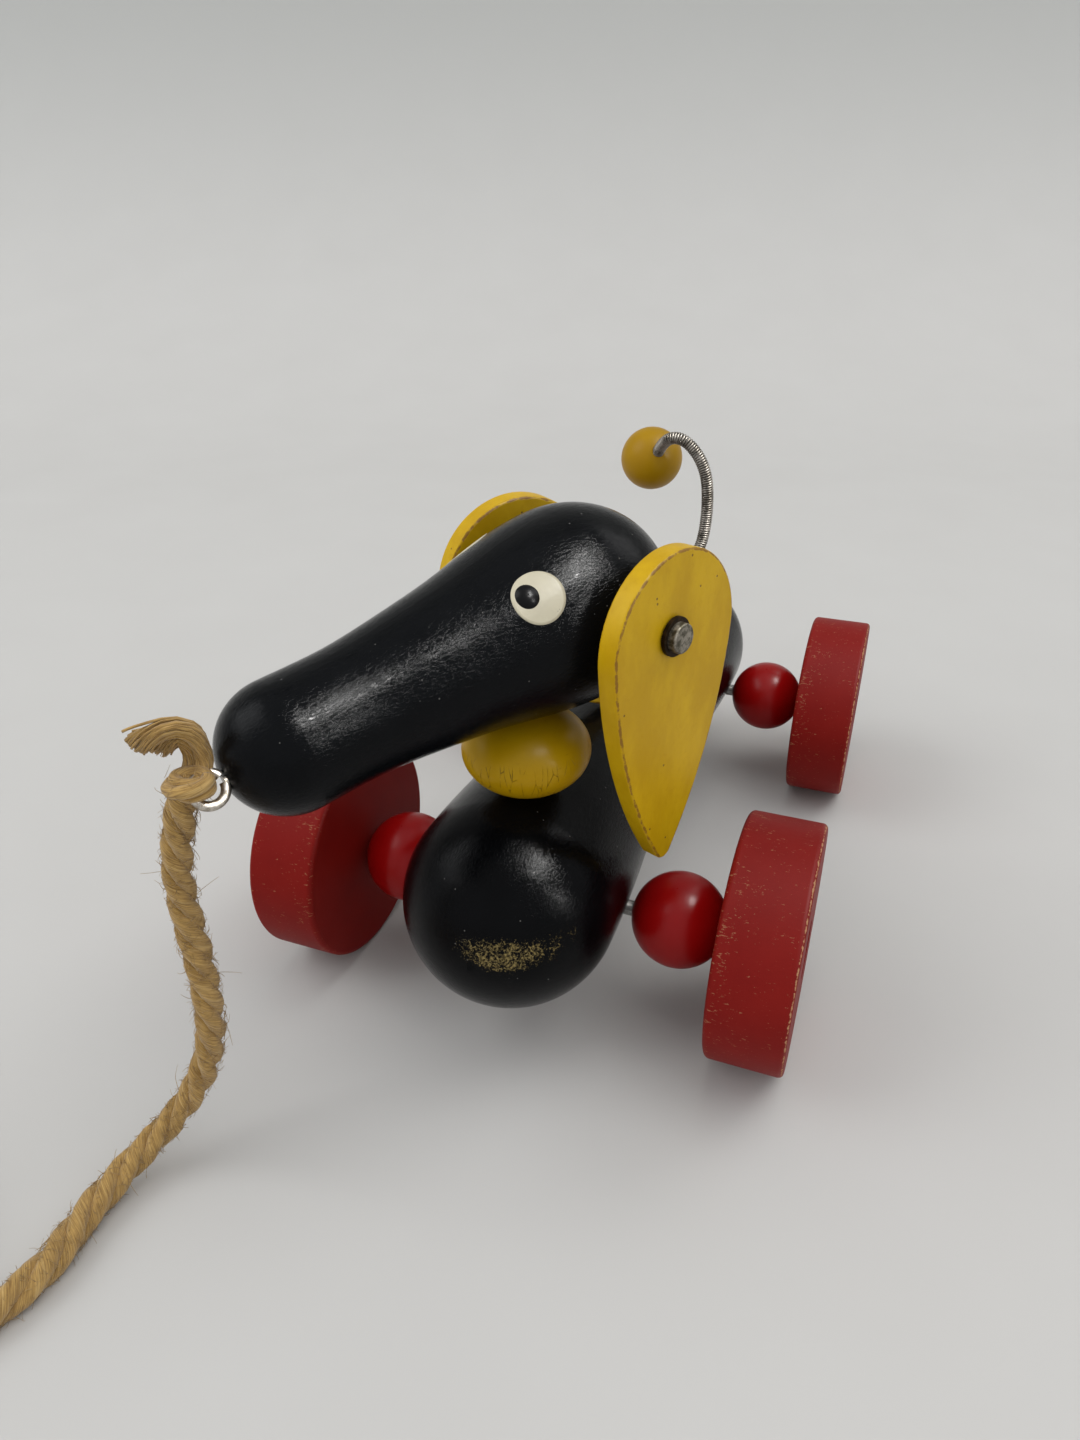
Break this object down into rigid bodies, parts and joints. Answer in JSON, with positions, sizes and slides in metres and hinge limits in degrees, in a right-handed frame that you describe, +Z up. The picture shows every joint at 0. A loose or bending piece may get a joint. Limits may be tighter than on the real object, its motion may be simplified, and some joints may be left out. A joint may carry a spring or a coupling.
{
  "type": "pull along toy",
  "caption": "Wooden dachshund pull-along toy on four wheels: turned body and swivelling head, swinging ears, coil-spring tail with a ball, screw eye in the nose and a jute cord.",
  "frame": {"origin": "on the floor, under the middle of the toy's box without its cord", "axes": "+Z up, the nose points to -Y, the toy's left side is +X; both axles lie along X"},
  "size_m": [0.1878, 0.3127, 0.1082],
  "materials": {
    "axle_steel": "plain drawn steel rod",
    "cap_steel": "stamped steel, lightly worn",
    "red_wheel_paint": "red lacquer, satin, worn through along the rims",
    "red_bead_paint": "red lacquer, glossy",
    "black_body_paint": "black lacquer, glossy, scuffed low on the chest",
    "black_head_paint": "black lacquer, glossy, with fine turning lines",
    "dowel_wood": "bare beech",
    "yellow_bead_paint": "yellow lacquer, glossy, crazed",
    "yellow_ear_paint": "yellow lacquer, satin, worn edges",
    "yellow_ball_paint": "yellow lacquer, satin",
    "screw_eye_steel": "zinc-plated wire",
    "nail_steel": "galvanised, pitted",
    "dark_washer": "blackened steel",
    "black_tack": "black enamel",
    "spring_steel": "darkened spring wire",
    "jute": "twisted jute fibre"
  },
  "bodies": {
    "toy_body": {"body": "black_body_paint", "front_axle": "axle_steel", "rear_axle": "axle_steel", "front_axle_cap_left": "cap_steel", "front_axle_cap_right": "cap_steel", "rear_axle_cap_left": "cap_steel", "rear_axle_cap_right": "cap_steel", "neck_dowel": "dowel_wood", "neck_bead": "yellow_bead_paint", "tail_spring_root": "spring_steel"},
    "front_wheel_left_body": {"front_wheel_left": "red_wheel_paint"},
    "front_bead_left_body": {"front_bead_left": "red_bead_paint"},
    "front_wheel_right_body": {"front_wheel_right": "red_wheel_paint"},
    "front_bead_right_body": {"front_bead_right": "red_bead_paint"},
    "rear_wheel_left_body": {"rear_wheel_left": "red_wheel_paint"},
    "rear_bead_left_body": {"rear_bead_left": "red_bead_paint"},
    "rear_wheel_right_body": {"rear_wheel_right": "red_wheel_paint"},
    "rear_bead_right_body": {"rear_bead_right": "red_bead_paint"},
    "head_body": {"head": "black_head_paint", "screw_eye": "screw_eye_steel", "ear_nail_left": "nail_steel", "ear_nail_right": "nail_steel", "ear_washer_left": "dark_washer", "ear_washer_right": "dark_washer", "eye_tack_left": "black_tack", "eye_tack_right": "black_tack", "pull_cord": "jute", "cord_end": "jute", "cord_hitch": "jute", "cord_coil": "jute", "cord_hand_knot": "jute"},
    "ear_left_body": {"ear_left": "yellow_ear_paint"},
    "ear_right_body": {"ear_right": "yellow_ear_paint"},
    "tail_lower_body": {"tail_spring_lower": "spring_steel"},
    "tail_upper_body": {"tail_spring_upper": "spring_steel", "tail_ball": "yellow_ball_paint"}
  },
  "joints": [
    {"name": "front_wheel_left_spin", "type": "hinge", "parent": "toy_body", "child": "front_wheel_left_body", "pos_m": [0.0487, -0.0463, 0.025], "axis": [1, 0, 0], "continuous": true},
    {"name": "front_bead_left_spin", "type": "hinge", "parent": "toy_body", "child": "front_bead_left_body", "pos_m": [0.0308, -0.0463, 0.025], "axis": [1, 0, 0], "continuous": true},
    {"name": "front_wheel_right_spin", "type": "hinge", "parent": "toy_body", "child": "front_wheel_right_body", "pos_m": [-0.0487, -0.0463, 0.025], "axis": [1, 0, 0], "continuous": true},
    {"name": "front_bead_right_spin", "type": "hinge", "parent": "toy_body", "child": "front_bead_right_body", "pos_m": [-0.0308, -0.0463, 0.025], "axis": [1, 0, 0], "continuous": true},
    {"name": "rear_wheel_left_spin", "type": "hinge", "parent": "toy_body", "child": "rear_wheel_left_body", "pos_m": [0.0487, 0.0627, 0.025], "axis": [1, 0, 0], "continuous": true},
    {"name": "rear_bead_left_spin", "type": "hinge", "parent": "toy_body", "child": "rear_bead_left_body", "pos_m": [0.0308, 0.0627, 0.025], "axis": [1, 0, 0], "continuous": true},
    {"name": "rear_wheel_right_spin", "type": "hinge", "parent": "toy_body", "child": "rear_wheel_right_body", "pos_m": [-0.0487, 0.0627, 0.025], "axis": [1, 0, 0], "continuous": true},
    {"name": "rear_bead_right_spin", "type": "hinge", "parent": "toy_body", "child": "rear_bead_right_body", "pos_m": [-0.0308, 0.0627, 0.025], "axis": [1, 0, 0], "continuous": true},
    {"name": "head_turn", "type": "hinge", "parent": "toy_body", "child": "head_body", "pos_m": [0, -0.0534, 0.075], "axis": [0, 0, 1], "range_deg": [-10, 30]},
    {"name": "ear_left_swing", "type": "hinge", "parent": "head_body", "child": "ear_left_body", "pos_m": [0.02295, -0.05158, 0.09031], "axis": [0.9176, -0.397, 0.0201], "continuous": true},
    {"name": "ear_right_swing", "type": "hinge", "parent": "head_body", "child": "ear_right_body", "pos_m": [-0.01067, -0.0342, 0.08933], "axis": [-0.7963, 0.6045, 0.0201], "range_deg": [-180, 0]},
    {"name": "tail_bob", "type": "hinge", "parent": "toy_body", "child": "tail_lower_body", "pos_m": [0, 0.0833, 0.0508], "axis": [1, 0, 0], "range_deg": [-15, 15], "stiffness_Nm_per_rad": 0.04},
    {"name": "tail_wag", "type": "hinge", "parent": "tail_lower_body", "child": "tail_upper_body", "pos_m": [0.0035, 0.0889, 0.075], "axis": [0, 1, 0], "range_deg": [-15, 15], "stiffness_Nm_per_rad": 0.04}
  ]
}
